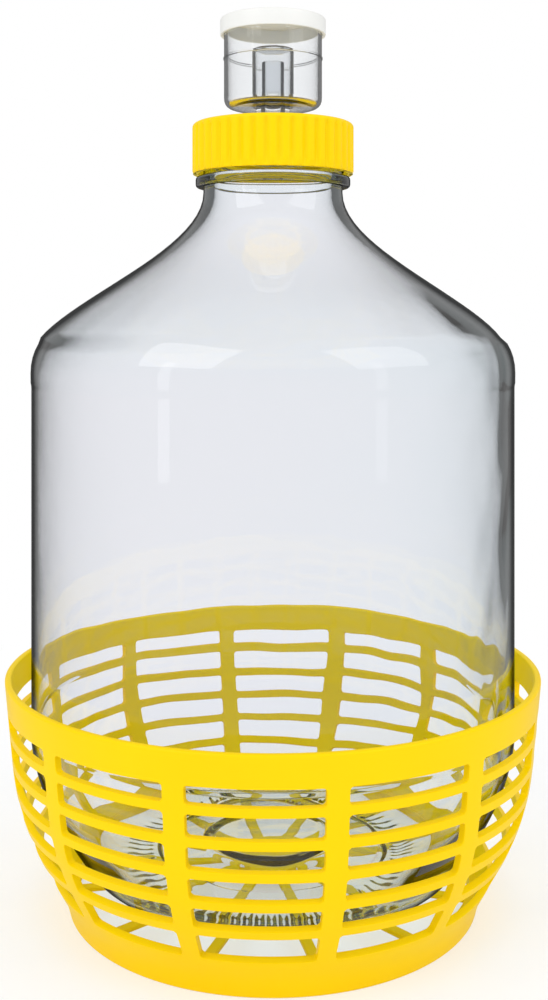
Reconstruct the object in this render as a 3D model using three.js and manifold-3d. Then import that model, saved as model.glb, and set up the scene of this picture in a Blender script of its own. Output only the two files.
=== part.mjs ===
// Glass demijohn of about five litres, standing in an openwork plastic basket, with a screw cap
// and a three-piece airlock. Millimetres, +Z up. The origin is the middle of the basket's foot,
// on the surface that it stands on. The front, as a shopper sees it, faces -Y.
import * as THREE from 'three';
import { mergeVertices } from 'three/addons/utils/BufferGeometryUtils.js';
import Module from 'manifold-3d';

const wasm = await Module();
wasm.setup();

// Fits between the pieces
const seatGap = 0.3;
const slipGap = 0.3;
const cutOverrun = 5;
const weldTolerance = 0.0001;

// Glass jar, measured from the ring that it stands on
const jarRadius = 92.5;
const jarWall = 4.2;
const jarBaseThickness = 6;
const heelHeight = 62;
const heelHandleDown = 20;
const heelCornerRadius = 72;
const heelCornerHeight = 10;
const heelFlareOut = 11;
const heelFlareUp = 16;
const baseCornerIn = 4;
const baseCornerDown = 6;
const innerCornerLift = 3;
const bearingRingRadius = 50.5;
const bearingRingWidth = 6;
const bearingRingDrop = 1;
const bearingRingRound = 0.8;
const pushUpRadius = 43;
const pushUpHeight = 3;
const pushUpStepRun = 2;
const pushUpDiscRadius = 23;
const pushUpDiscHeight = 7;
const wallTopHeight = 193;
const shoulderRoundHeight = 9;
const shoulderSlope = 6.5;
const shoulderHandle = 16;
const innerShoulderDrop = 2;
const labelPanelDepth = 0.3;
const labelPanelBottom = 64;
const labelPanelTop = 188;
const labelPanelEdge = 1.5;

// Neck and its finish
const neckRadius = 27;
const neckWall = 4.2;
const neckBottomHeight = 262;
const neckFlareHandle = 20;
const neckHeight = 22;
const supportBeadLift = 2;
const supportBeadReach = 3;
const supportBeadHeight = 4;
const supportBeadEdge = 0.8;
const lipRound = 0.9;

// Basket
const basketHeight = 87.8;
const basketPlay = 6.9;
const basketWall = 2.6;
const rimFlare = 2.7;
const rimBandHeight = 11.3;
const rimEdgeRound = 0.8;
const bellyHeight = 59;
const bellyHandleIn = 1.8;
const bellyHandleDown = 23;
const footHandleOut = 8.8;
const footHandleUp = 15.9;
const heelPlay = 8.7;
const footTaper = 2.7;
const floorHeight = 8.2;
const floorThickness = 1.8;
const floorLedgeWidth = 3;
const spokeWidth = 4;
const hubRadius = 18;
const ribWidthAtRim = 7.8;
const ribTurnDegrees = 11.8;
const ringHeight = 3.2;
const ringPitch = 10.65;
const footBandHeight = 14.7;
const lowestSlotHeight = 10;
const topSlotHeight = 6;
const slotCornerRadius = 1.3;
const ribCount = 12;

// Gasket, screw cap and grommet
const gasketThickness = 1.6;
const gasketInset = 1.4;
const threadAllowance = 1.9;
const capWall = 2.4;
const capTopThickness = 2.4;
const capSkirtGap = 1.2;
const capEdgeRound = 1.6;
const gripDepth = 0.7;
const gripCount = 40;
const grommetWall = 2.6;
const grommetFlangeReach = 3.2;
const grommetFlangeThickness = 1.6;

// Airlock
const stemRadius = 4.6;
const stemBore = 3.1;
const stemLength = 14;
const collarReach = 2;
const collarHeight = 4;
const cupRadius = 19;
const cupHeight = 33;
const cupWall = 1.5;
const cupFloorThickness = 1.6;
const cupEdgeRadius = 4;
const riserWall = 1.2;
const riserHeight = 16;
const bellPlay = 2.6;
const bellWall = 1.1;
const bellHeight = 21;
const bellEdgeRound = 1.2;
const bellNotchWidth = 4;
const bellNotchHeight = 3;
const bellNotchCount = 4;
const lidPlateThickness = 1.4;
const lidSkirtHeight = 5;
const lidSkirtWall = 1.2;
const lidEdgeRound = 0.8;
const lidVentRadius = 0.9;
const lidVentCircle = 12;
const lidVentCount = 6;

// Facets round each kind of piece and along each kind of curve
const basketFacets = 48;
const jarFacets = 48;
const closureFacets = 40;
const airlockFacets = 32;
const ventFacets = 8;
const gripFacets = 3;
const longCurveSteps = 5;
const bendSteps = 3;
const innerBendSteps = 2;
const windowSteps = 2;
const slotCornerSteps = 1;

// Sizes that follow from those above
const fullTurn = Math.PI * 2;
const quarterTurn = Math.PI / 2;
const ribTurn = THREE.MathUtils.degToRad(ribTurnDegrees);
const seatHeight = floorHeight + seatGap;
const jarHeight = neckBottomHeight + neckHeight;
const rimRadius = jarRadius + basketPlay + basketWall;
const rimShoulder = basketHeight - rimEdgeRound;
const bellyRadius = rimRadius - rimFlare;
const footRadius = heelCornerRadius + heelPlay;
const beadBottom = neckBottomHeight + supportBeadLift;
const beadTop = beadBottom + supportBeadHeight;

// Heights in the closure are counted from the lip of the glass
const gasketTop = seatGap + gasketThickness;
const capPlateBottom = gasketTop + seatGap;
const capTop = capPlateBottom + capTopThickness;
const capSkirtBottom = beadTop + capSkirtGap - jarHeight;
const capInnerRadius = neckRadius + threadAllowance;
const capRadius = capInnerRadius + capWall;
const grommetBore = stemRadius + slipGap;
const grommetRadius = grommetBore + grommetWall;
const grommetTop = capTop + seatGap + grommetFlangeThickness;
const cupBottom = grommetTop + seatGap + collarHeight;
const cupFloor = cupBottom + cupFloorThickness;
const cupTop = cupBottom + cupHeight;
const riserRadius = stemBore + riserWall;

const yellowPlastic = new THREE.MeshStandardMaterial({ color: '#ffdb00', roughness: 0.38, metalness: 0 });
const capPlastic = new THREE.MeshStandardMaterial({ color: '#ffd800', roughness: 0.42, metalness: 0 });
const clearGlass = new THREE.MeshStandardMaterial({
  color: '#dfe7e6', roughness: 0.05, metalness: 0, transparent: true, opacity: 0.4, side: THREE.DoubleSide,
});
const greyRubber = new THREE.MeshStandardMaterial({ color: '#8c8f91', roughness: 0.7, metalness: 0 });
const whiteRubber = new THREE.MeshStandardMaterial({ color: '#e9e8e2', roughness: 0.6, metalness: 0 });
const clearPlastic = new THREE.MeshStandardMaterial({
  color: '#eef3f5', roughness: 0.12, metalness: 0, transparent: true, opacity: 0.5, side: THREE.DoubleSide,
});
const frostedPlastic = new THREE.MeshStandardMaterial({ color: '#f4f4f0', roughness: 0.35, metalness: 0 });

// One closed body with shared vertices and without triangles that have no area
function welded(geometry) {
  const bare = new THREE.BufferGeometry();
  bare.setAttribute('position', geometry.getAttribute('position').clone());
  if (geometry.index) bare.setIndex(geometry.index.clone());
  const merged = mergeVertices(bare, weldTolerance);
  const corners = merged.index.array;
  const kept = [];
  for (let i = 0; i < corners.length; i += 3) {
    const [a, b, c] = [corners[i], corners[i + 1], corners[i + 2]];
    if (a !== b && b !== c && c !== a) kept.push(a, b, c);
  }
  merged.setIndex(kept);
  return merged;
}

function toSolid(geometry) {
  const body = welded(geometry);
  const vertProperties = new Float32Array(body.getAttribute('position').array);
  const triVerts = new Uint32Array(body.index.array);
  return new wasm.Manifold(new wasm.Mesh({ numProp: 3, vertProperties, triVerts }));
}

function toGeometry(solid) {
  const mesh = solid.getMesh();
  const geometry = new THREE.BufferGeometry();
  const positions = new Float32Array(mesh.vertProperties);
  geometry.setAttribute('position', new THREE.BufferAttribute(positions, 3));
  geometry.setIndex(new THREE.BufferAttribute(new Uint32Array(mesh.triVerts), 1));
  return geometry;
}

function cutAway(solid, cutters) {
  return cutters.reduce((left, cutter) => left.subtract(toSolid(cutter)), solid);
}

function meshOf(name, geometry, material) {
  const body = welded(geometry);
  body.computeVertexNormals();
  const mesh = new THREE.Mesh(body, material);
  mesh.name = name;
  return mesh;
}

// A profile's points are [radius, height]. They run up the outside and down the inside.
function turned(profile, facets) {
  const points = profile.map(([radius, height]) => new THREE.Vector2(radius, height));
  return new THREE.LatheGeometry(points, facets).rotateX(quarterTurn);
}

function turnedRing(profile, facets) {
  return turned([...profile, profile[0]], facets);
}

function bend(start, corner, end, steps = bendSteps) {
  const ends = [start, corner, end].map(([x, y]) => new THREE.Vector2(x, y));
  return new THREE.QuadraticBezierCurve(...ends).getPoints(steps).map(({ x, y }) => [x, y]);
}

function longCurve(start, startHandle, endHandle, end) {
  const ends = [start, startHandle, endHandle, end].map(([x, y]) => new THREE.Vector2(x, y));
  return new THREE.CubicBezierCurve(...ends).getPoints(longCurveSteps).map(({ x, y }) => [x, y]);
}

function edgeArc(centreRadius, centreHeight, radius, from, to) {
  const points = [];
  for (let i = 0; i <= bendSteps; i += 1) {
    const angle = from + ((to - from) * i) / bendSteps;
    points.push([centreRadius + radius * Math.cos(angle), centreHeight + radius * Math.sin(angle)]);
  }
  return points;
}

// Glass jar: one wall from the stepped push-up over heel, label panel and shoulder to the lip
function heelCurve(radius, cornerRadius, cornerHeight) {
  const corner = [cornerRadius, cornerHeight];
  const flare = [cornerRadius + heelFlareOut, cornerHeight + heelFlareUp];
  return longCurve(corner, flare, [radius, heelHeight - heelHandleDown], [radius, heelHeight]);
}

function shoulderCurve(radius, wallTop, neck) {
  const cornerHeight = wallTop + shoulderRoundHeight;
  const slopeStart = [radius - shoulderSlope, cornerHeight + shoulderSlope];
  const round = bend([radius, wallTop], [radius, cornerHeight], slopeStart);
  const leaving = [slopeStart[0] - shoulderHandle, slopeStart[1] + shoulderHandle];
  const arriving = [neck, neckBottomHeight - neckFlareHandle];
  return [...round, ...longCurve(slopeStart, leaving, arriving, [neck, neckBottomHeight])];
}

function jarUnderside() {
  const ringInner = bearingRingRadius - bearingRingWidth / 2;
  const ringOuter = bearingRingRadius + bearingRingWidth / 2;
  const cornerHandle = [heelCornerRadius - baseCornerIn, heelCornerHeight - baseCornerDown];
  return [
    [0, pushUpDiscHeight],
    [pushUpDiscRadius, pushUpDiscHeight],
    [pushUpDiscRadius + pushUpStepRun, (pushUpDiscHeight + pushUpHeight) / 2],
    [pushUpRadius, pushUpHeight],
    [pushUpRadius + pushUpStepRun, bearingRingDrop],
    [ringInner, bearingRingDrop],
    [ringInner + bearingRingRound, 0],
    [ringOuter - bearingRingRound, 0],
    ...bend([ringOuter, bearingRingDrop], cornerHandle, [heelCornerRadius, heelCornerHeight]),
  ];
}

function neckOutside() {
  const beadRadius = neckRadius + supportBeadReach;
  return [
    [neckRadius, beadBottom],
    [beadRadius, beadBottom + supportBeadEdge],
    [beadRadius, beadTop - supportBeadEdge],
    [neckRadius, beadTop],
    [neckRadius, jarHeight - lipRound],
    [neckRadius - lipRound, jarHeight],
  ];
}

function jarOutside() {
  const panelRadius = jarRadius - labelPanelDepth;
  return [
    ...jarUnderside(),
    ...heelCurve(jarRadius, heelCornerRadius, heelCornerHeight).slice(1, -1),
    [jarRadius, labelPanelBottom - labelPanelEdge],
    [panelRadius, labelPanelBottom],
    [panelRadius, labelPanelTop],
    ...shoulderCurve(jarRadius, wallTopHeight, neckRadius),
    ...neckOutside(),
  ];
}

function jarInside() {
  const innerRadius = jarRadius - jarWall;
  const neckBore = neckRadius - neckWall;
  const innerCorner = [heelCornerRadius - jarWall, heelCornerHeight + innerCornerLift];
  const heel = heelCurve(innerRadius, ...innerCorner);
  const shoulder = shoulderCurve(innerRadius, wallTopHeight - innerShoulderDrop, neckBore);
  const floorEdge = [bearingRingRadius, pushUpHeight + jarBaseThickness];
  const base = bend(innerCorner, [innerCorner[0], floorEdge[1]], floorEdge, innerBendSteps);
  return [
    [neckBore + lipRound, jarHeight],
    [neckBore, jarHeight - lipRound],
    ...shoulder.reverse(),
    ...heel.reverse(),
    ...base.slice(1),
    [pushUpRadius, pushUpHeight + jarBaseThickness],
    [pushUpDiscRadius, pushUpDiscHeight + jarBaseThickness],
    [0, pushUpDiscHeight + jarBaseThickness],
  ];
}

function makeJar() {
  return turned([...jarOutside(), ...jarInside()], jarFacets);
}

// Basket: a turned shell whose wall is cut into ribs and rings, and a floor cut into spokes
function bowlCurve(offset) {
  const start = [footRadius - offset, floorHeight];
  const startHandle = [start[0] + footHandleOut, floorHeight + footHandleUp];
  const end = [bellyRadius - offset, bellyHeight];
  const endHandle = [end[0] - bellyHandleIn, bellyHeight - bellyHandleDown];
  return longCurve(start, startHandle, endHandle, end);
}

function basketShell() {
  const landRadius = footRadius - footTaper;
  const rimInner = rimRadius - basketWall;
  return turnedRing([
    [landRadius - basketWall, 0],
    [landRadius, 0],
    ...bowlCurve(0),
    [rimRadius, rimShoulder],
    [rimRadius - rimEdgeRound, basketHeight],
    [rimInner + rimEdgeRound, basketHeight],
    [rimInner, rimShoulder],
    ...bowlCurve(basketWall).reverse(),
  ], basketFacets);
}

// The windows between the spokes widen from the hub to the ledge along the wall
function floorWindow(turn) {
  const ledgeRadius = footRadius - basketWall - floorLedgeWidth;
  const sector = fullTurn / ribCount;
  const hubShare = Math.asin(spokeWidth / 2 / hubRadius);
  const ledgeShare = Math.asin(spokeWidth / 2 / ledgeRadius);
  const window = new THREE.Shape();
  window.absarc(0, 0, ledgeRadius, turn + ledgeShare, turn + sector - ledgeShare, false);
  window.absarc(0, 0, hubRadius, turn + sector - hubShare, turn + hubShare, true);
  window.closePath();
  return window;
}

function basketFloor() {
  const plateRadius = footRadius - basketWall / 2;
  const plateBottom = floorHeight - floorThickness;
  const edge = [
    [0, plateBottom], [plateRadius, plateBottom], [plateRadius, floorHeight], [0, floorHeight],
  ];
  const depth = floorThickness + 2 * cutOverrun;
  const options = { depth, bevelEnabled: false, curveSegments: windowSteps };
  const windows = [];
  for (let i = 0; i < ribCount; i += 1) {
    const window = new THREE.ExtrudeGeometry(floorWindow(ribTurn + (i * fullTurn) / ribCount), options);
    windows.push(window.translate(0, 0, plateBottom - cutOverrun));
  }
  return cutAway(toSolid(turned(edge, basketFacets)), windows);
}

function bowlRadiusAt(height) {
  const points = [...bowlCurve(0), [rimRadius, rimShoulder]];
  const above = points.findIndex((point) => point[1] >= height);
  const [low, high] = [points[above - 1], points[above]];
  return low[0] + ((high[0] - low[0]) * (height - low[1])) / (high[1] - low[1]);
}

// A slot is as wide as the gap between two ribs, which narrows with the bowl
function slotOutline(bottom, top) {
  const gapShare = Math.sin(fullTurn / ribCount / 2 - ribWidthAtRim / rimRadius / 2);
  const corner = Math.min(slotCornerRadius, (top - bottom) / 2);
  const low = bowlRadiusAt(bottom) * gapShare;
  const high = bowlRadiusAt(top) * gapShare;
  const outline = new THREE.Shape();
  outline.moveTo(corner - low, bottom);
  outline.lineTo(low - corner, bottom);
  outline.quadraticCurveTo(low, bottom, low, bottom + corner);
  outline.lineTo(high, top - corner);
  outline.quadraticCurveTo(high, top, high - corner, top);
  outline.lineTo(corner - high, top);
  outline.quadraticCurveTo(-high, top, -high, top - corner);
  outline.lineTo(-low, bottom + corner);
  outline.quadraticCurveTo(-low, bottom, corner - low, bottom);
  return outline;
}

function slotCutter(turn, bottom, top) {
  const start = footRadius * Math.cos(fullTurn / ribCount / 2) - basketWall - cutOverrun;
  const depth = rimRadius + cutOverrun - start;
  const options = { depth, bevelEnabled: false, curveSegments: slotCornerSteps };
  const cutter = new THREE.ExtrudeGeometry(slotOutline(bottom, top), options);
  return cutter.translate(0, 0, start).rotateX(quarterTurn).rotateZ(turn + quarterTurn);
}

// The rings divide the wall evenly between the lowest slot and the slot under the rim band
function slotRows() {
  const lowestRing = footBandHeight + lowestSlotHeight;
  const topRing = basketHeight - rimBandHeight - topSlotHeight - ringHeight;
  const gaps = Math.round((topRing - lowestRing) / ringPitch);
  const pitch = (topRing - lowestRing) / gaps;
  const rows = [[footBandHeight, lowestRing]];
  for (let i = 0; i < gaps; i += 1) {
    const ring = lowestRing + i * pitch;
    rows.push([ring + ringHeight, ring + pitch]);
  }
  rows.push([topRing + ringHeight, basketHeight - rimBandHeight]);
  return rows;
}

function makeBasket() {
  const cutters = [];
  for (const [bottom, top] of slotRows()) {
    for (let i = 0; i < ribCount; i += 1) {
      const middle = ribTurn + ((2 * i + 1) * fullTurn) / ribCount / 2;
      cutters.push(slotCutter(middle, bottom, top));
    }
  }
  const shell = cutAway(toSolid(basketShell()), cutters);
  return toGeometry(shell.add(basketFloor()));
}

// Closure on the neck: gasket, cap with a gripped skirt, and grommet
function makeGasket() {
  const outer = capInnerRadius - gasketInset;
  const inner = neckRadius - neckWall - gasketInset;
  const section = [[inner, seatGap], [outer, seatGap], [outer, gasketTop], [inner, gasketTop]];
  return turnedRing(section, closureFacets);
}

function grippedOutline() {
  const outline = new THREE.Shape();
  const count = gripCount * gripFacets;
  for (let i = 0; i < count; i += 1) {
    const angle = (i * fullTurn) / count;
    const valley = (1 - Math.cos(angle * gripCount)) / 2;
    const radius = capRadius - gripDepth * valley;
    const point = [radius * Math.cos(angle), radius * Math.sin(angle)];
    if (i === 0) outline.moveTo(...point);
    else outline.lineTo(...point);
  }
  outline.closePath();
  return outline;
}

function makeCap() {
  const holeRadius = grommetRadius + slipGap;
  const options = { depth: capTop - capSkirtBottom, bevelEnabled: false };
  const gripped = new THREE.ExtrudeGeometry(grippedOutline(), options).translate(0, 0, capSkirtBottom);
  const form = turnedRing([
    [capInnerRadius, capSkirtBottom],
    [capRadius + gripDepth, capSkirtBottom],
    [capRadius + gripDepth, capTop - capEdgeRound],
    ...edgeArc(capRadius - capEdgeRound, capTop - capEdgeRound, capEdgeRound, 0, quarterTurn),
    [holeRadius, capTop],
    [holeRadius, capPlateBottom],
    [capInnerRadius, capPlateBottom],
  ], closureFacets);
  return toGeometry(toSolid(gripped).intersect(toSolid(form)));
}

function makeGrommet() {
  const flange = grommetRadius + grommetFlangeReach;
  const lowerTop = capPlateBottom - seatGap;
  const upperBottom = capTop + seatGap;
  return turnedRing([
    [grommetBore, lowerTop - grommetFlangeThickness],
    [flange, lowerTop - grommetFlangeThickness],
    [flange, lowerTop],
    [grommetRadius, lowerTop],
    [grommetRadius, upperBottom],
    [flange, upperBottom],
    [flange, grommetTop],
    [grommetBore, grommetTop],
  ], airlockFacets);
}

// Airlock: cup with stem and riser, bell that gas lifts, and vented dust lid
function makeAirlockBody() {
  const collarBottom = cupBottom - collarHeight;
  const collarRadius = stemRadius + collarReach;
  const cupInner = cupRadius - cupWall;
  const innerEdge = cupEdgeRadius - cupWall;
  return turnedRing([
    [stemBore, collarBottom - stemLength],
    [stemRadius, collarBottom - stemLength],
    [stemRadius, collarBottom],
    [collarRadius, collarBottom],
    [collarRadius, cupBottom],
    ...edgeArc(cupRadius - cupEdgeRadius, cupBottom + cupEdgeRadius, cupEdgeRadius, -quarterTurn, 0),
    [cupRadius, cupTop],
    [cupInner, cupTop],
    ...edgeArc(cupInner - innerEdge, cupFloor + innerEdge, innerEdge, 0, -quarterTurn),
    [riserRadius, cupFloor],
    [riserRadius, cupFloor + riserHeight],
    [stemBore, cupFloor + riserHeight],
  ], airlockFacets);
}

function makeBell() {
  const bottom = cupFloor + seatGap;
  const top = bottom + bellHeight;
  const inner = riserRadius + bellPlay;
  const outer = inner + bellWall;
  const bell = turned([
    [0, top - bellWall],
    [inner, top - bellWall],
    [inner, bottom],
    [outer, bottom],
    [outer, top - bellEdgeRound],
    [outer - bellEdgeRound, top],
    [0, top],
  ], airlockFacets);
  const notches = [];
  for (let i = 0; i < bellNotchCount; i += 1) {
    const notch = new THREE.BoxGeometry(outer + cutOverrun, bellNotchWidth, 2 * bellNotchHeight);
    notch.translate((outer + cutOverrun) / 2, 0, bottom);
    notches.push(notch.rotateZ((i * fullTurn) / bellNotchCount));
  }
  return toGeometry(cutAway(toSolid(bell), notches));
}

function makeLid() {
  const plateBottom = cupTop + seatGap;
  const top = plateBottom + lidPlateThickness;
  const inner = cupRadius + slipGap;
  const outer = inner + lidSkirtWall;
  const lid = turned([
    [0, plateBottom],
    [inner, plateBottom],
    [inner, plateBottom - lidSkirtHeight],
    [outer, plateBottom - lidSkirtHeight],
    [outer, top - lidEdgeRound],
    [outer - lidEdgeRound, top],
    [0, top],
  ], airlockFacets);
  const vents = [];
  for (let i = 0; i < lidVentCount; i += 1) {
    const depth = lidPlateThickness + cutOverrun;
    const vent = new THREE.CylinderGeometry(lidVentRadius, lidVentRadius, depth, ventFacets);
    vent.rotateX(quarterTurn).translate(lidVentCircle, 0, (plateBottom + top) / 2);
    vents.push(vent.rotateZ((i * fullTurn) / lidVentCount));
  }
  return toGeometry(cutAway(toSolid(lid), vents));
}

const demijohn = new THREE.Group();
const jar = new THREE.Group();
jar.position.z = seatHeight;
jar.add(meshOf('glass_jar', makeJar(), clearGlass));

const closure = new THREE.Group();
closure.position.z = jarHeight;
closure.add(
  meshOf('sealing_gasket', makeGasket(), whiteRubber),
  meshOf('screw_cap', makeCap(), capPlastic),
  meshOf('cap_grommet', makeGrommet(), greyRubber),
  meshOf('airlock_body', makeAirlockBody(), clearPlastic),
  meshOf('airlock_bell', makeBell(), clearPlastic),
  meshOf('airlock_lid', makeLid(), frostedPlastic),
);
jar.add(closure);
demijohn.add(meshOf('basket', makeBasket(), yellowPlastic), jar);

export default demijohn;
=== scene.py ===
# Glass demijohn in its openwork basket, with screw cap and airlock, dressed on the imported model
from math import atan2, cos, degrees, hypot, pi, radians, sin

import bmesh
import bpy
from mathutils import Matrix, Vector


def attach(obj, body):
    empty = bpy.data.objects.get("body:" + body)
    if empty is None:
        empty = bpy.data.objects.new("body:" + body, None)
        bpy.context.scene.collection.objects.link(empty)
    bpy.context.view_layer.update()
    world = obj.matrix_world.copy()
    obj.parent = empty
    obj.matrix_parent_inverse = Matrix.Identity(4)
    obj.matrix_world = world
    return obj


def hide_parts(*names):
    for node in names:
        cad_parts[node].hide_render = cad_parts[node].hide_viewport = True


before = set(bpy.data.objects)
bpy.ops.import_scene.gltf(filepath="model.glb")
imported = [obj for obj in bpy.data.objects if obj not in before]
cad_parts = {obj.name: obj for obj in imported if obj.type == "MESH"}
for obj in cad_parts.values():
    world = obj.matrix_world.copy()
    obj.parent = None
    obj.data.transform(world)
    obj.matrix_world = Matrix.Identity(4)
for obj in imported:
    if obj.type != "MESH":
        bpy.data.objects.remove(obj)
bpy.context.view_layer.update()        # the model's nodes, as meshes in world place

mm = 0.001
fullTurn = 2 * pi
seat = 8.5                  # height at which the glass stands in the basket
threadPitch = 4.775         # the cap rises this far in one turn
threadRunOut = 1.2          # height over which a thread fades away at either end
ridgeFullness = 0.7         # below 1 makes a ridge rounder


# Camera: level, with the object below the middle of the picture
photoCamera = {
    "place": (0.0004, -0.4878, 0.2228), "lens": 45.2, "sensor": 36, "shiftY": -0.184, "nearest": 0.01,
}

bpy.ops.object.select_all(action="DESELECT")
bpy.ops.object.camera_add(location=photoCamera["place"], rotation=(pi / 2, 0, 0))
camera = bpy.context.object
camera.name = "photoCamera"
camera.data.lens = photoCamera["lens"]
camera.data.sensor_width = photoCamera["sensor"]
camera.data.shift_y = photoCamera["shiftY"]
camera.data.clip_start = photoCamera["nearest"]
bpy.context.scene.camera = camera
print("camera placed")


# Outlines: lists of (radius, height) in millimetres
def bezier(controls, steps):
    points = []
    for i in range(steps + 1):
        level = [Vector(control) for control in controls]
        while len(level) > 1:
            level = [a.lerp(b, i / steps) for a, b in zip(level, level[1:])]
        points.append((level[0].x, level[0].y))
    return points


def arc(centre, radius, start, end, steps):
    turns = [radians(start + (end - start) * i / steps) for i in range(steps + 1)]
    return [(centre[0] + radius * cos(turn), centre[1] + radius * sin(turn)) for turn in turns]


def straight(start, end, steps):
    return bezier([start, end], steps)


def lifted(outline, height):
    return [(radius, z + height) for radius, z in outline]


# Corners of an outline get a round of their own size, 0 for a sharp one
def rounded(corners, steps=4):
    outline = []
    for i, (radius, z, size) in enumerate(corners):
        here = Vector((radius, z))
        if not size:
            outline.append((radius, z))
            continue
        before = Vector(corners[i - 1][:2]) - here
        after = Vector(corners[(i + 1) % len(corners)][:2]) - here
        ends = [here + before.normalized() * size, here, here + after.normalized() * size]
        outline += bezier(ends, steps)
    return outline


# Modelling by hand
def deselectAll():
    if bpy.context.object and bpy.context.object.mode != "OBJECT":
        bpy.ops.object.mode_set(mode="OBJECT")
    bpy.ops.object.select_all(action="DESELECT")


def applied(piece, name, kind, **settings):
    modifier = piece.modifiers.new(name, kind)
    for setting, value in settings.items():
        setattr(modifier, setting, value)
    deselectAll()
    bpy.context.view_layer.objects.active = piece
    piece.select_set(True)
    bpy.ops.object.modifier_apply(modifier=modifier.name)


def shaded(piece, angle=35):
    deselectAll()
    bpy.context.view_layer.objects.active = piece
    piece.select_set(True)
    bpy.ops.object.shade_smooth_by_angle(angle=radians(angle))


# One vertex is extruded along the outline, which is then spun round the axis
def turned(name, outline, steps, ring=False):
    deselectAll()
    bpy.ops.mesh.primitive_plane_add(size=mm, location=(0, 0, 0))
    piece = bpy.context.object
    piece.name = piece.data.name = name
    bpy.ops.object.mode_set(mode="EDIT")
    bpy.ops.mesh.select_mode(type="VERT")
    bpy.ops.mesh.merge(type="CENTER")
    path = outline + outline[:1] if ring else outline
    bpy.ops.transform.translate(value=(path[0][0] * mm, 0, path[0][1] * mm))
    for here, there in zip(path, path[1:]):
        step = ((there[0] - here[0]) * mm, 0, (there[1] - here[1]) * mm)
        bpy.ops.mesh.extrude_vertices_move(TRANSFORM_OT_translate={"value": step})
    bpy.ops.mesh.select_all(action="SELECT")
    bpy.ops.mesh.spin(steps=steps, angle=fullTurn, center=(0, 0, 0), axis=(0, 0, 1))
    bpy.ops.mesh.select_all(action="SELECT")
    bpy.ops.mesh.remove_doubles(threshold=0.01 * mm)
    bpy.ops.mesh.normals_make_consistent(inside=False)
    bpy.ops.object.mode_set(mode="OBJECT")
    shaded(piece)
    return piece


# A vertex group whose weights follow the vertices' places, for a Displace modifier to push
def pushed(piece, name, depth, weightAt, **settings):
    group = piece.vertex_groups.new(name=name)
    for vertex in piece.data.vertices:
        weight = weightAt(vertex.co / mm)
        if weight > 0:
            group.add([vertex.index], weight, "REPLACE")
    settings = {"mid_level": 0, **settings}
    applied(piece, name, "DISPLACE", vertex_group=name, strength=depth * mm, **settings)
    piece.vertex_groups.remove(piece.vertex_groups[name])


# A rounded ridge: 1 along its middle, 0 at its feet
def ridge(distance, halfWidth):
    if abs(distance) >= halfWidth:
        return 0
    return cos(abs(distance) / halfWidth * pi / 2) ** ridgeFullness


# How close a place is to a right-hand screw line that starts at height low and ends at high
def screwLine(place, low, high, halfWidth):
    turn = atan2(place.y, place.x) / fullTurn
    rise = (place.z - low) / threadPitch - turn
    nearest = low + (turn + round(rise)) * threadPitch
    fadeIn = max(0, (nearest - low) / threadRunOut + 0.5)
    fadeOut = max(0, (high - nearest) / threadRunOut + 0.5)
    return ridge(place.z - nearest, halfWidth) * min(1, fadeIn, fadeOut)


def finished(piece, node, body, material):
    piece.data.materials.clear()
    piece.data.materials.append(material)
    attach(piece, body)
    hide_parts(node)
    print(node, len(piece.data.polygons), "faces")


# Shader maths: a Wire is a socket, arithmetic on it adds Math nodes, and node() makes any other node
class Wire:
    def __init__(self, tree, socket=None):
        self.tree = tree
        self.socket = socket

    def node(self, kind, settings={}, inputs={}, output=0):
        made = self.tree.nodes.new("ShaderNode" + kind)
        for name, value in settings.items():
            setattr(made, name, value)
        for name, value in inputs.items():
            if isinstance(value, Wire):
                self.tree.links.new(value.socket, made.inputs[name])
            else:
                made.inputs[name].default_value = value
        return Wire(self.tree, made.outputs[output]) if len(made.outputs) else made

    def maths(self, operation, *values):
        return self.node("Math", {"operation": operation}, dict(enumerate(values)))

    def __add__(self, other):
        return self.maths("ADD", self, other)

    def __sub__(self, other):
        return self.maths("SUBTRACT", self, other)

    def __rsub__(self, other):
        return self.maths("SUBTRACT", other, self)

    def __mul__(self, other):
        return self.maths("MULTIPLY", self, other)

    __radd__ = __add__
    __rmul__ = __mul__


def newMaterial(name):
    material = bpy.data.materials.new(name)
    material.use_nodes = True
    material.node_tree.nodes.clear()
    return material, Wire(material.node_tree)


def noise(tree, scale, detail=2, stretch=(1, 1, 1)):
    place = tree.node("TexCoord", output="Object")
    place = tree.node("Mapping", {}, {"Vector": place, "Scale": stretch})
    return tree.node("TexNoise", {}, {"Vector": place, "Scale": scale, "Detail": detail})


# Opaque plastic or rubber: two close shades, a fine grain and a little unevenness in the gloss
def mouldedMaterial(name, settings):
    material, tree = newMaterial(name)
    cloud = noise(tree, settings["cloudScale"], 3)
    grain = noise(tree, settings["grainScale"], 2)
    shades = {0: cloud, 6: (*settings["shade"], 1), 7: (*settings["colour"], 1)}
    colour = tree.node("Mix", {"data_type": "RGBA"}, shades, output=2)
    roughness = cloud * settings["glossSpread"] + (settings["roughness"] - settings["glossSpread"] / 2)
    relief = {"Height": grain, "Strength": settings["grain"], "Distance": settings["grainDepth"] * mm}
    surface = tree.node("BsdfPrincipled", {}, {
        "Base Color": colour, "Roughness": roughness, "Normal": tree.node("Bump", {}, relief),
        "IOR": 1.49, "Specular IOR Level": settings["shine"],
    })
    tree.node("OutputMaterial", {}, {"Surface": surface})
    return material
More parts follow.
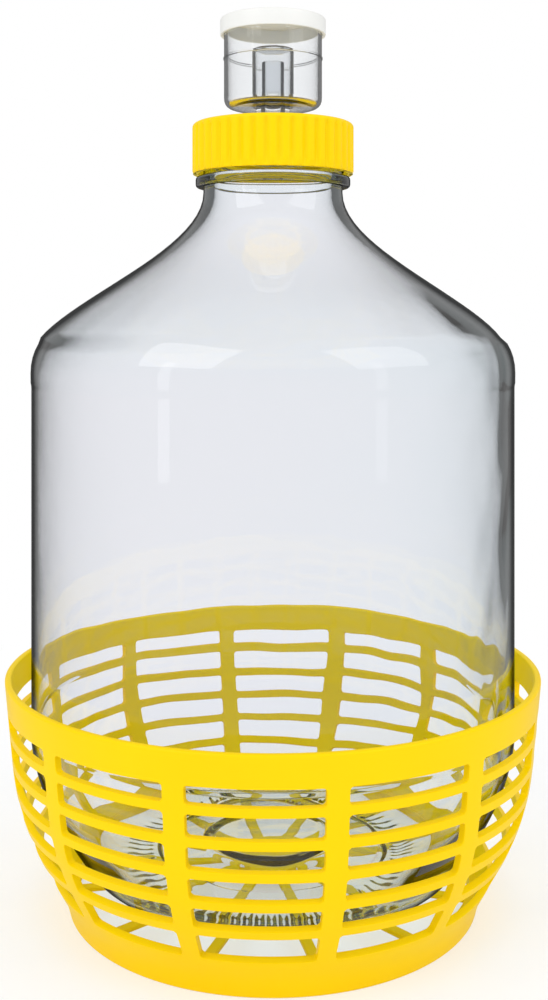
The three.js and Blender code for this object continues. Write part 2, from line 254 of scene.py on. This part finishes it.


# Clear glass or plastic. Lamps and diffuse light pass straight through it, so it throws a light shadow,
# and where it turns away from the eye a painted dark edge shade is laid over it for camera rays.
def clearMaterial(name, settings):
    material, tree = newMaterial(name)
    waves = noise(tree, settings["waveScale"], 1, settings["waveStretch"])
    cloud = noise(tree, settings["cloudScale"], 2)
    relief = {"Height": waves, "Strength": settings["wave"], "Distance": settings["waveDepth"] * mm}
    clear = tree.node("BsdfPrincipled", {}, {
        "Base Color": (*settings["colour"], 1), "Roughness": cloud * settings["haze"],
        "Normal": tree.node("Bump", {}, relief), "IOR": settings["ior"], "Transmission Weight": 1,
    })
    # Painted shade: where the surface turns away from the eye, camera rays see a dark transparent layer
    # instead of the clear glass
    facing = tree.node("LayerWeight", {}, {"Blend": 0.5}, output="Facing")
    edge = tree.node("MapRange", {"interpolation_type": "SMOOTHSTEP"}, {
        "Value": facing, "From Min": settings["edgeStart"], "From Max": settings["edgeFull"],
    })
    paintedEdgeMask = edge * tree.node("LightPath", output="Is Camera Ray") * settings["edgeStrength"]
    paintedEdgeShade = tree.node("BsdfTransparent", {}, {"Color": (*settings["edgeShade"], 1)})
    clear = tree.node("MixShader", {}, {0: paintedEdgeMask, 1: clear, 2: paintedEdgeShade})
    passing = tree.node("BsdfTransparent", {}, {"Color": (*settings["shadow"], 1)})
    shadowRay = tree.node("LightPath", output="Is Shadow Ray")
    diffuseRay = tree.node("LightPath", output="Is Diffuse Ray")
    lighting = tree.maths("MAXIMUM", shadowRay, diffuseRay)
    surface = tree.node("MixShader", {}, {0: lighting, 1: clear, 2: passing})
    tint = {"Color": (*settings["tint"], 1), "Density": settings["density"]}
    volume = tree.node("VolumeAbsorption", {}, tint)
    tree.node("OutputMaterial", {}, {"Surface": surface, "Volume": volume})
    return material


# Glass jar
glass = {
    "columns": 456, "beads": 76, "beadRing": 50.5, "beadReach": 3.4, "beadDepth": 1.5,
    "threadStart": 270.6, "threadEnd": 280.2, "threadHalfWidth": 1.1, "threadDepth": 1.4,
    "cavityShift": 1.1, "unevenness": 1.6, "unevenSize": 42,
    "colour": (1, 0.975, 1), "ior": 1.5, "haze": 0.02, "cloudScale": 30,
    "wave": 0.25, "waveDepth": 0.6, "waveScale": 14, "waveStretch": (1, 1, 0.35),
    "tint": (0.15, 0.74, 0.78), "density": 15, "shadow": (0.965, 0.967, 0.965),
    # the edge entries set the painted dark edge shade: where it starts, where it is full, its colour
    # and its strength
    "edgeStart": 0.75, "edgeFull": 0.87, "edgeShade": (0.05, 0.052, 0.055), "edgeStrength": 0.86,
}


def jarOutside():
    underside = rounded([
        (0, 7, 0), (23, 7, 1.4), (25.4, 5, 1.4), (43, 3, 1.2), (44.6, 1.5, 0.7), (46.6, 1.5, 0),
    ], 3)
    return [
        *underside, *straight((47.5, 1.5), (53.5, 1.5), 6)[:-1],
        *bezier([(53.5, 1.5), (68, 4), (72, 10)], 7),
        *bezier([(72, 10), (83, 26), (92.5, 42), (92.5, 62)], 16)[1:],
    ]


# The label panel lies a little below the heel and the shoulder
def jarPanel():
    low = [(92.47, 62.7), (92.3, 63.5), (92.22, 64.2), (92.2, 65)]
    high = [(92.2, 187), (92.22, 187.8), (92.3, 188.5), (92.47, 189.3)]
    return low + high


def shoulderLine(radius, wallTop, neck, steps):
    slope = (radius - 6.5, wallTop + 15.5)
    handles = [slope, (slope[0] - 16, slope[1] + 16), (neck, 242), (neck, 262)]
    return bezier([(radius, wallTop), (radius, wallTop + 9), slope], 6) + bezier(handles, steps)[1:]


def neckOutside():
    bead = rounded([(27, 264, 0), (30, 264, 1.2), (30, 268, 1.2), (27, 268, 0)], 3)
    lip = rounded([(27, 282.6, 0), (27, 284, 0.9), (22.8, 284, 0.9)], 3)
    return [*bead, *straight((27, 269.4), (27, 281.4), 24), *lip]


def jarInside():
    wall = straight((88.3, 184), (88.3, 70), 17)
    return [
        *shoulderLine(88.3, 191, 22.8, 18)[::-1], *wall,
        *bezier([(88.3, 62), (88.3, 42), (78.8, 29), (67.8, 13)], 13),
        *bezier([(67.8, 13), (67.8, 9), (50.5, 9)], 6)[1:],
        *rounded([(43, 9, 1.2), (25.4, 11.2, 2), (22.6, 13, 1.4), (0, 13, 0)], 3),
    ]


def makeJar():
    outer = jarOutside() + jarPanel() + shoulderLine(92.5, 193, 27, 20) + neckOutside()
    jar = turned("glassJar", lifted(outer + jarInside(), seat), glass["columns"])

    def insideAt(place):        # 1 on the cavity's wall, fading out towards the neck
        floorTop, wallTop, fadeEnd, fadeRun = 8.2, 190, 235, 40
        heelBottom, heelRise, heelCurve = 13, 40, 0.55
        floorRadius, heelSwell, outsideHeel, outsideWall, outsideShoulder = 68, 21, 2.2, 90.4, 89.5
        z = place.z - seat
        if not floorTop < z < fadeEnd:
            return 0
        heelShare = min(1, max(0, (z - heelBottom) / heelRise)) ** heelCurve
        widest = min(outsideWall, floorRadius + heelSwell * heelShare + outsideHeel)
        within = hypot(place.x, place.y) < (widest if z < wallTop else outsideShoulder)
        return min(1, (fadeEnd - z) / fadeRun) if within else 0

    def unevenAt(place):        # the right side is the more uneven one
        leastUneven, unevenGain, wallRadius = 0.6, 0.4, 90
        return insideAt(place) * (leastUneven + unevenGain * place.x / wallRadius)

    def beadAt(place):
        if place.z >= seat + 2:
            return 0
        ring = ridge(hypot(place.x, place.y) - glass["beadRing"], glass["beadReach"])
        return ring * (0.5 + 0.5 * cos(glass["beads"] * atan2(place.y, place.x)))

    def threadAt(place):
        if hypot(place.x, place.y) <= 25 or not seat + 269 < place.z < seat + 283:
            return 0
        ends = seat + glass["threadStart"], seat + glass["threadEnd"]
        return screwLine(place, *ends, glass["threadHalfWidth"])

    unevenGlass = bpy.data.textures.new("unevenGlass", "CLOUDS")
    unevenGlass.noise_scale = glass["unevenSize"] * mm
    uneven = {"texture": unevenGlass, "texture_coords": "LOCAL", "mid_level": 0.5}
    pushed(jar, "cavityWaves", glass["unevenness"], unevenAt, **uneven)
    pushed(jar, "cavityShift", -glass["cavityShift"], insideAt, direction="X")
    pushed(jar, "beads", -glass["beadDepth"], beadAt, direction="Z")
    pushed(jar, "thread", glass["threadDepth"], threadAt)
    return jar


jarPiece = makeJar()
finished(jarPiece, "glass_jar", "jar", clearMaterial("clearGlass", glass))


# Basket: a bowl of rings, with slots taken out of it, and a spoked floor
basket = {
    "columns": 168, "ribs": 12, "ribTurn": 11.8, "wall": 2.6, "height": 87.8,
    "slots": [(14.7, 24.7), (27.9, 35.35), (38.55, 46), (49.2, 56.65), (59.85, 67.3), (70.5, 76.5)],
    "ribHalfTurn": 2.2, "slotCorner": 1.3, "edgeRound": 0.35, "rimRound": 0.8,
    "floorTop": 8.2, "floorDepth": 1.8, "hub": 18, "ringProud": 0.12, "ledge": 75.1,
    "spokeWidth": 4, "spokeRound": 0.5, "spokeOverlap": 4,
}
yellowPlastic = {
    "colour": (1, 0.7, 0.0), "shade": (0.985, 0.635, 0.0),
    "roughness": 0.36, "glossSpread": 0.1, "shine": 0.1,
    "cloudScale": 26, "grainScale": 900, "grain": 0.12, "grainDepth": 0.08,
}


def basketRows():
    bowl = bezier([(80.7, 8.2), (89.5, 24.1), (97.5, 36), (99.3, 59)], 60) + [(102, 87.8)]

    def bowlRadius(height):
        low, high = next((a, b) for a, b in zip(bowl, bowl[1:]) if b[1] >= height)
        return low[0] + (high[0] - low[0]) * (height - low[1]) / (high[1] - low[1])

    heights = [10.4, 12.6, 14.7, 18, 21.4, 24.7]
    for bottom, top in basket["slots"][1:]:
        heights += [bottom, (bottom + top) / 2, top]
    heights += [82, 87.6]
    foot = [(78, 0), (78.75, 3), (79.65, 5.8), (80.7, 8.2)]
    return foot + [(bowlRadius(height), height) for height in heights]


def makeBowl():
    rows = basketRows()
    turn = (0, 0, radians(basket["ribTurn"]))
    sharp = radians(60)
    deselectAll()
    bpy.ops.mesh.primitive_circle_add(vertices=basket["columns"], radius=rows[0][0] * mm, rotation=turn)
    bowl = bpy.context.object
    bpy.ops.object.mode_set(mode="EDIT")
    for here, there in zip(rows, rows[1:]):
        rise = {"value": (0, 0, (there[1] - here[1]) * mm)}
        bpy.ops.mesh.extrude_region_move(TRANSFORM_OT_translate=rise)
        share = there[0] / here[0]
        bpy.ops.transform.resize(value=(share, share, 1), center_override=(0, 0, there[1] * mm))
    bpy.ops.mesh.select_all(action="SELECT")
    bpy.ops.mesh.normals_make_consistent(inside=False)

    bpy.ops.mesh.select_all(action="DESELECT")
    bpy.ops.mesh.select_mode(type="FACE")
    mesh = bmesh.from_edit_mesh(bowl.data)
    ribPitch = 360 / basket["ribs"]
    for face in mesh.faces:
        middle = face.calc_center_median() / mm
        fromRib = degrees(atan2(middle.y, middle.x)) % ribPitch
        betweenRibs = basket["ribHalfTurn"] < fromRib < ribPitch - basket["ribHalfTurn"]
        face.select_set(betweenRibs and any(low < middle.z < high for low, high in basket["slots"]))
    bmesh.update_edit_mesh(bowl.data)
    bpy.ops.mesh.delete(type="FACE")
    bpy.ops.object.mode_set(mode="OBJECT")
    bpy.ops.object.transform_apply(location=True, rotation=True, scale=True)
    applied(bowl, "wall", "SOLIDIFY", thickness=basket["wall"] * mm, offset=-1, use_even_offset=True)

    def slotEdge(edge):         # inside corners
        return edge.calc_face_angle_signed(0) < -sharp

    def rimEdge(edge):
        onRim = min(vertex.co.z for vertex in edge.verts) > (basket["height"] - 0.6) * mm
        return onRim and edge.calc_face_angle_signed(0) > sharp

    bpy.ops.object.mode_set(mode="EDIT")
    for edgeRound, wanted in ((basket["slotCorner"], slotEdge), (basket["rimRound"], rimEdge)):
        bpy.ops.mesh.select_all(action="DESELECT")
        bpy.ops.mesh.select_mode(type="EDGE")
        mesh = bmesh.from_edit_mesh(bowl.data)
        mesh.normal_update()
        for edge in mesh.edges:
            edge.select_set(wanted(edge))
        bmesh.update_edit_mesh(bowl.data)
        bpy.ops.mesh.bevel(offset=edgeRound * mm, segments=3, affect="EDGES")
    bpy.ops.object.mode_set(mode="OBJECT")
    return bowl


def makeSpokes():
    length = basket["ledge"] - basket["hub"] + basket["spokeOverlap"]
    middle = (basket["hub"] + basket["ledge"]) / 2
    halfway = basket["floorTop"] - basket["floorDepth"] / 2
    deselectAll()
    bpy.ops.mesh.primitive_cube_add(size=mm, location=(middle * mm, 0, halfway * mm))
    spokes = bpy.context.object
    bpy.ops.object.mode_set(mode="EDIT")
    bpy.ops.transform.resize(value=(length, basket["spokeWidth"], basket["floorDepth"]))
    bpy.ops.mesh.select_all(action="DESELECT")
    bpy.ops.mesh.select_mode(type="EDGE")
    mesh = bmesh.from_edit_mesh(spokes.data)
    for edge in mesh.edges:
        along = edge.verts[0].co - edge.verts[1].co
        edge.select_set(abs(along.x) > abs(along.y) + abs(along.z))
    bmesh.update_edit_mesh(spokes.data)
    bpy.ops.mesh.bevel(offset=basket["spokeRound"] * mm, segments=3, affect="EDGES")
    bpy.ops.object.mode_set(mode="OBJECT")
    bpy.ops.object.transform_apply(location=True, rotation=True, scale=True)
    copies = []
    for i in range(basket["ribs"]):
        deselectAll()
        spokes.select_set(True)
        bpy.context.view_layer.objects.active = spokes
        bpy.ops.object.duplicate(linked=False)
        spoke = bpy.context.object
        spoke.rotation_euler.z = radians(basket["ribTurn"] + 360 / basket["ribs"] * i)
        bpy.ops.object.transform_apply(location=True, rotation=True, scale=True)
        copies.append(spoke)
    bpy.data.objects.remove(spokes)
    return copies


def makeFloorRings():
    top = basket["floorTop"] + basket["ringProud"]
    bottom = basket["floorTop"] - basket["floorDepth"] - basket["ringProud"]
    hub, ledge, inWall = basket["hub"], basket["ledge"], 79.2
    hubOutline = rounded([
        (0, bottom, 0), (hub, bottom, 0.4), (hub, top, 0.5),
        (3.2, top, 0.3), (2.6, top - 0.5, 0.3), (0, top - 0.5, 0),
    ], 3)
    ledgeOutline = rounded([
        (ledge, bottom, 0.4), (inWall, bottom, 0), (inWall, top, 0), (ledge, top, 0.4),
    ], 3)
    return [turned("hub", hubOutline, 96), turned("ledge", ledgeOutline, basket["columns"], ring=True)]


def joined(name, parts):
    deselectAll()
    for part in parts:
        part.select_set(True)
    bpy.context.view_layer.objects.active = parts[0]
    bpy.ops.object.join()
    parts[0].name = parts[0].data.name = name
    return parts[0]


basketPiece = joined("yellowBasket", [makeBowl(), *makeSpokes(), *makeFloorRings()])
softEdges = {
    "width": basket["edgeRound"] * mm, "segments": 2,
    "limit_method": "ANGLE", "angle_limit": radians(50),
}
applied(basketPiece, "softEdges", "BEVEL", **softEdges)
shaded(basketPiece)
applied(basketPiece, "flatFaces", "WEIGHTED_NORMAL", keep_sharp=True)
basketYellow = mouldedMaterial("yellowPlastic", yellowPlastic)
finished(basketPiece, "basket", "basket", basketYellow)


# Closure: gasket on the lip, gripped cap with an inner thread, and grommet
closure = {
    "grips": 40, "gripDepth": 1, "gripNarrowness": 2.5, "gripRunOut": 1.2, "columns": 480,
    "capRadius": 31.3, "capInner": 28.9, "capBottom": 277.7, "plateBottom": 294.7, "capTop": 297.1,
    "hole": 7.8, "threadEnd": 277.6, "threadHalfWidth": 0.9, "threadDepth": 1.3,
}
capPlastic = {**yellowPlastic, "colour": (1, 0.69, 0.0), "shade": (0.98, 0.64, 0.0), "roughness": 0.4}
whiteRubber = {
    "colour": (0.82, 0.81, 0.76), "shade": (0.76, 0.75, 0.7),
    "roughness": 0.6, "glossSpread": 0.12, "shine": 0.4,
    "cloudScale": 60, "grainScale": 700, "grain": 0.3, "grainDepth": 0.1,
}
greyRubber = {
    "colour": (0.27, 0.28, 0.29), "shade": (0.22, 0.23, 0.235),
    "roughness": 0.68, "glossSpread": 0.16, "shine": 0.4,
    "cloudScale": 90, "grainScale": 800, "grain": 0.35, "grainDepth": 0.1,
}


def makeCap():
    radius, inner, hole = closure["capRadius"], closure["capInner"], closure["hole"]
    bottom, plate, top = closure["capBottom"], closure["plateBottom"], closure["capTop"]
    plateOutline = [
        (24, top, 0.4), (23.4, top - 0.4, 0.4), (hole + 4.6, top - 0.4, 0.3),
        (hole + 4, top, 0.3), (hole, top, 0.3), (hole, plate, 0.3),
    ]
    outline = [
        *rounded([(inner, bottom, 0.4), (radius, bottom, 0.5)], 2),
        *straight((radius, bottom + 1.2), (radius, top - 2.6), 6),
        *arc((radius - 1.6, top - 1.6), 1.6, 0, 90, 5),
        *rounded(plateOutline, 2),
        *rounded([(inner, plate, 1)], 3),
        *straight((inner, plate - 2), (inner, bottom + 1), 30),
    ]
    cap = turned("screwCap", outline, closure["columns"], ring=True)

    def gripAt(place):          # grooves down the skirt, which fade out at its ends
        runOut = closure["gripRunOut"]
        if hypot(place.x, place.y) <= radius - 1.2:
            return 0
        run = min(1, max(0, (place.z - bottom - 0.4) / runOut), max(0, (top - 1.2 - place.z) / runOut))
        groove = 0.5 - 0.5 * cos(closure["grips"] * atan2(place.y, place.x))
        return groove ** closure["gripNarrowness"] * run

    def threadAt(place):
        onBore = abs(hypot(place.x, place.y) - inner) < 0.2
        if not onBore or not bottom + 0.8 < place.z < plate - 1.5:
            return 0
        ends = seat + glass["threadStart"] + threadPitch / 2, seat + closure["threadEnd"]
        return screwLine(place, *ends, closure["threadHalfWidth"])

    pushed(cap, "grips", -closure["gripDepth"], gripAt)
    pushed(cap, "thread", closure["threadDepth"], threadAt)
    shaded(cap, 40)
    return cap


def makeGasket():
    section = [(21.4, 292.8, 0.3), (27.5, 292.8, 0.3), (27.5, 294.4, 0.3), (21.4, 294.4, 0.3)]
    return turned("sealingGasket", rounded(section, 3), 128, ring=True)


def makeGrommet():
    return turned("capGrommet", rounded([
        (4.9, 292.8, 0.5), (10.7, 292.8, 0.6), (10.7, 294.4, 0.4), (7.5, 294.4, 0), (7.5, 297.4, 0),
        (10.7, 297.4, 0.4), (10.7, 299, 0.7), (4.9, 299, 0.5),
    ], 3), 96, ring=True)


finished(makeCap(), "screw_cap", "cap", mouldedMaterial("capPlastic", capPlastic))
gasketRubber = mouldedMaterial("whiteRubber", whiteRubber)
finished(makeGasket(), "sealing_gasket", "gasket", gasketRubber)
grommetRubber = mouldedMaterial("greyRubber", greyRubber)
finished(makeGrommet(), "cap_grommet", "grommet", grommetRubber)

# Airlock: cup on a stem, loose bell over the riser, and a vented dust cap
airlock = {
    "columns": 128, "notchWidth": 4, "notchHeight": 3, "notchReach": 26, "bellBottom": 305.2,
    "vents": 6, "ventRadius": 0.9, "ventCircle": 12, "ventHeight": 337.3, "ventDrill": 6,
    "waterLine": 322.6,
    "colour": (0.98, 0.99, 1), "ior": 1.49, "haze": 0.1, "cloudScale": 80,
    "wave": 0.1, "waveDepth": 0.3, "waveScale": 60, "waveStretch": (1, 1, 0.4),
    "tint": (0.8, 0.9, 1), "density": 2, "shadow": (0.96, 0.965, 0.967),
    # the edge entries set the painted dark edge shade: where it starts, where it is full, its colour
    # and its strength
    "edgeStart": 0.7, "edgeFull": 0.95, "edgeShade": (0.03, 0.032, 0.034), "edgeStrength": 0.6,
}
frostedPlastic = {
    "colour": (0.86, 0.86, 0.83), "shade": (0.8, 0.8, 0.77),
    "roughness": 0.36, "glossSpread": 0.12, "shine": 0.5,
    "cloudScale": 50, "grainScale": 900, "grain": 0.15, "grainDepth": 0.08,
}


def makeAirlockBody():
    line = airlock["waterLine"]
    return turned("airlockBody", rounded([
        (3.1, 285.3, 0.3), (4.6, 285.3, 0.6), (4.6, 299.3, 0), (6.6, 299.3, 0.5), (6.6, 303.3, 0),
        (19, 303.3, 4), (19, line - 0.5, 0), (19.3, line - 0.2, 0), (19.3, line + 0.2, 0),
        (19, line + 0.5, 0), (19, 336.3, 0.5), (17.5, 336.3, 0.5), (17.5, 304.9, 2.5),
        (4.3, 304.9, 0.5), (4.3, 320.9, 0.4), (3.1, 320.9, 0.4),
    ], 6), airlock["columns"], ring=True)


def makeBell():
    bottom = airlock["bellBottom"]
    bell = turned("airlockBell", rounded([
        (0, 325.1, 0), (6.9, 325.1, 1), (6.9, bottom, 0.3),
        (8, bottom, 0.3), (8, 326.2, 1.6), (0, 326.2, 0),
    ], 4), 96)
    reach, width, height = airlock["notchReach"], airlock["notchWidth"], airlock["notchHeight"]
    for size in ((reach, width, 2 * height), (width, reach, 2 * height)):
        deselectAll()
        bpy.ops.mesh.primitive_cube_add(size=mm, location=(0, 0, bottom * mm))
        notch = bpy.context.object
        bpy.ops.transform.resize(value=size)
        bpy.ops.object.transform_apply(location=True, rotation=True, scale=True)
        applied(bell, "notch", "BOOLEAN", object=notch, operation="DIFFERENCE", solver="EXACT")
        bpy.data.objects.remove(notch)
    shaded(bell)
    return bell


def makeLid():
    lid = turned("airlockLid", rounded([
        (0, 336.6, 0), (19.3, 336.6, 0), (19.3, 331.6, 0.3), (20.5, 331.6, 0.4), (20.5, 337.98, 0.9),
        (16.4, 337.98, 0.3), (15.8, 337.6, 0.3), (0, 337.6, 0),
    ], 4), airlock["columns"])
    drills = []
    size = {"vertices": 24, "radius": airlock["ventRadius"] * mm, "depth": airlock["ventDrill"] * mm}
    for i in range(airlock["vents"]):
        turn = fullTurn * i / airlock["vents"]
        along, across = airlock["ventCircle"] * cos(turn), airlock["ventCircle"] * sin(turn)
        deselectAll()
        place = (along * mm, across * mm, airlock["ventHeight"] * mm)
        bpy.ops.mesh.primitive_cylinder_add(location=place, **size)
        drills.append(bpy.context.object)
    drill = joined("drill", drills)
    applied(lid, "vents", "BOOLEAN", object=drill, operation="DIFFERENCE", solver="EXACT")
    bpy.data.objects.remove(drill)
    shaded(lid)
    return lid


clearPlastic = clearMaterial("clearPlastic", airlock)
finished(makeAirlockBody(), "airlock_body", "airlock", clearPlastic)
finished(makeBell(), "airlock_bell", "bell", clearPlastic)
lidPlastic = mouldedMaterial("frostedPlastic", frostedPlastic)
finished(makeLid(), "airlock_lid", "lid", lidPlastic)


# Studio: white all round, a dimmer room in reflections, which darkens the edges of the glass
studio = {
    "white": 1, "roomLight": 0.86, "reflectedRoom": 0.5, "roomInGlass": 0.11,
    "floorRadius": 3, "floorShade": (0.96, 0.97, 1),
    "floorGlow": 0.5, "floorFadeStart": 0.11, "floorFadeEnd": 0.4, "lampAim": (0, 0, 0.18),
    "lamps": [
        {"name": "leftSoftbox", "place": (-0.8, -0.8, 1.05), "size": (0.9, 0.9), "watts": 4.6},
        {"name": "rightSoftbox", "place": (0.9, -0.6, 1), "size": (0.9, 0.9), "watts": 3.4},
        {"name": "leftStrip", "place": (-0.9, -0.82, 0.3), "size": (0.12, 1), "watts": 0.45},
        {"name": "rightStrip", "place": (0.9, -0.82, 0.3), "size": (0.12, 1), "watts": 0.25},
    ],
}


# Camera, reflected and transmitted rays see this background: white, dimmer in a reflection, and dark
# in one inside the glass
def whiteShown(tree):
    cameraRay = tree.node("LightPath", output="Is Camera Ray")
    glossyRay = tree.node("LightPath", output="Is Glossy Ray")
    transmissionRay = tree.node("LightPath", output="Is Transmission Ray")
    shown = tree.maths("MAXIMUM", cameraRay, tree.maths("MAXIMUM", glossyRay, transmissionRay))
    reflected = tree.maths("MINIMUM", tree.node("LightPath", output="Glossy Depth"), 1)
    inGlass = tree.maths("MINIMUM", tree.node("LightPath", output="Transmission Depth"), 1)
    dimInGlass = studio["reflectedRoom"] - studio["roomInGlass"]
    dimmer = studio["white"] - studio["reflectedRoom"] + inGlass * dimInGlass
    return shown, studio["white"] - reflected * dimmer


def makeStudio():
    world = bpy.data.worlds.new("studio")
    bpy.context.scene.world = world
    world.use_nodes = True
    world.node_tree.nodes.clear()
    tree = Wire(world.node_tree)
    shown, white = whiteShown(tree)
    strength = shown * white + (1 - shown) * studio["roomLight"]
    background = tree.node("Background", {}, {"Color": (1, 1, 1, 1), "Strength": strength})
    tree.node("OutputWorld", {}, {"Surface": background})

    deselectAll()
    bpy.ops.mesh.primitive_circle_add(vertices=96, radius=studio["floorRadius"], fill_type="NGON")
    floor = bpy.context.object
    floor.name = "floor"
    material, tree = newMaterial("paleFloor")
    shown, white = whiteShown(tree)
    place = tree.node("TexCoord", output="Object")
    away = tree.node("VectorMath", {"operation": "LENGTH"}, {0: place}, output="Value")
    fade = tree.node("MapRange", {"interpolation_type": "SMOOTHSTEP"}, {
        "Value": away, "From Min": studio["floorFadeStart"], "From Max": studio["floorFadeEnd"],
    })
    ground = tree.node("BsdfDiffuse", {}, {"Color": (*studio["floorShade"], 1)})
    glow = tree.node("Emission", {}, {"Color": (1, 1, 1, 1), "Strength": white})
    glowing = shown * (studio["floorGlow"] + fade * (1 - studio["floorGlow"]))
    surface = tree.node("MixShader", {}, {0: glowing, 1: ground, 2: glow})
    tree.node("OutputMaterial", {}, {"Surface": surface})
    floor.data.materials.append(material)

    for settings in studio["lamps"]:
        deselectAll()
        aim = Vector(studio["lampAim"]) - Vector(settings["place"])
        turn = aim.to_track_quat("-Z", "Y").to_euler()
        bpy.ops.object.light_add(type="AREA", location=settings["place"], rotation=turn)
        lamp = bpy.context.object
        lamp.name = settings["name"]
        lamp.data.shape = "RECTANGLE"
        lamp.data.size, lamp.data.size_y = settings["size"]
        lamp.data.energy = settings["watts"]
        lamp.visible_camera = False
        lamp.visible_transmission = False
    bpy.context.scene.view_settings.view_transform = "Standard"


makeStudio()
print("studio set up")
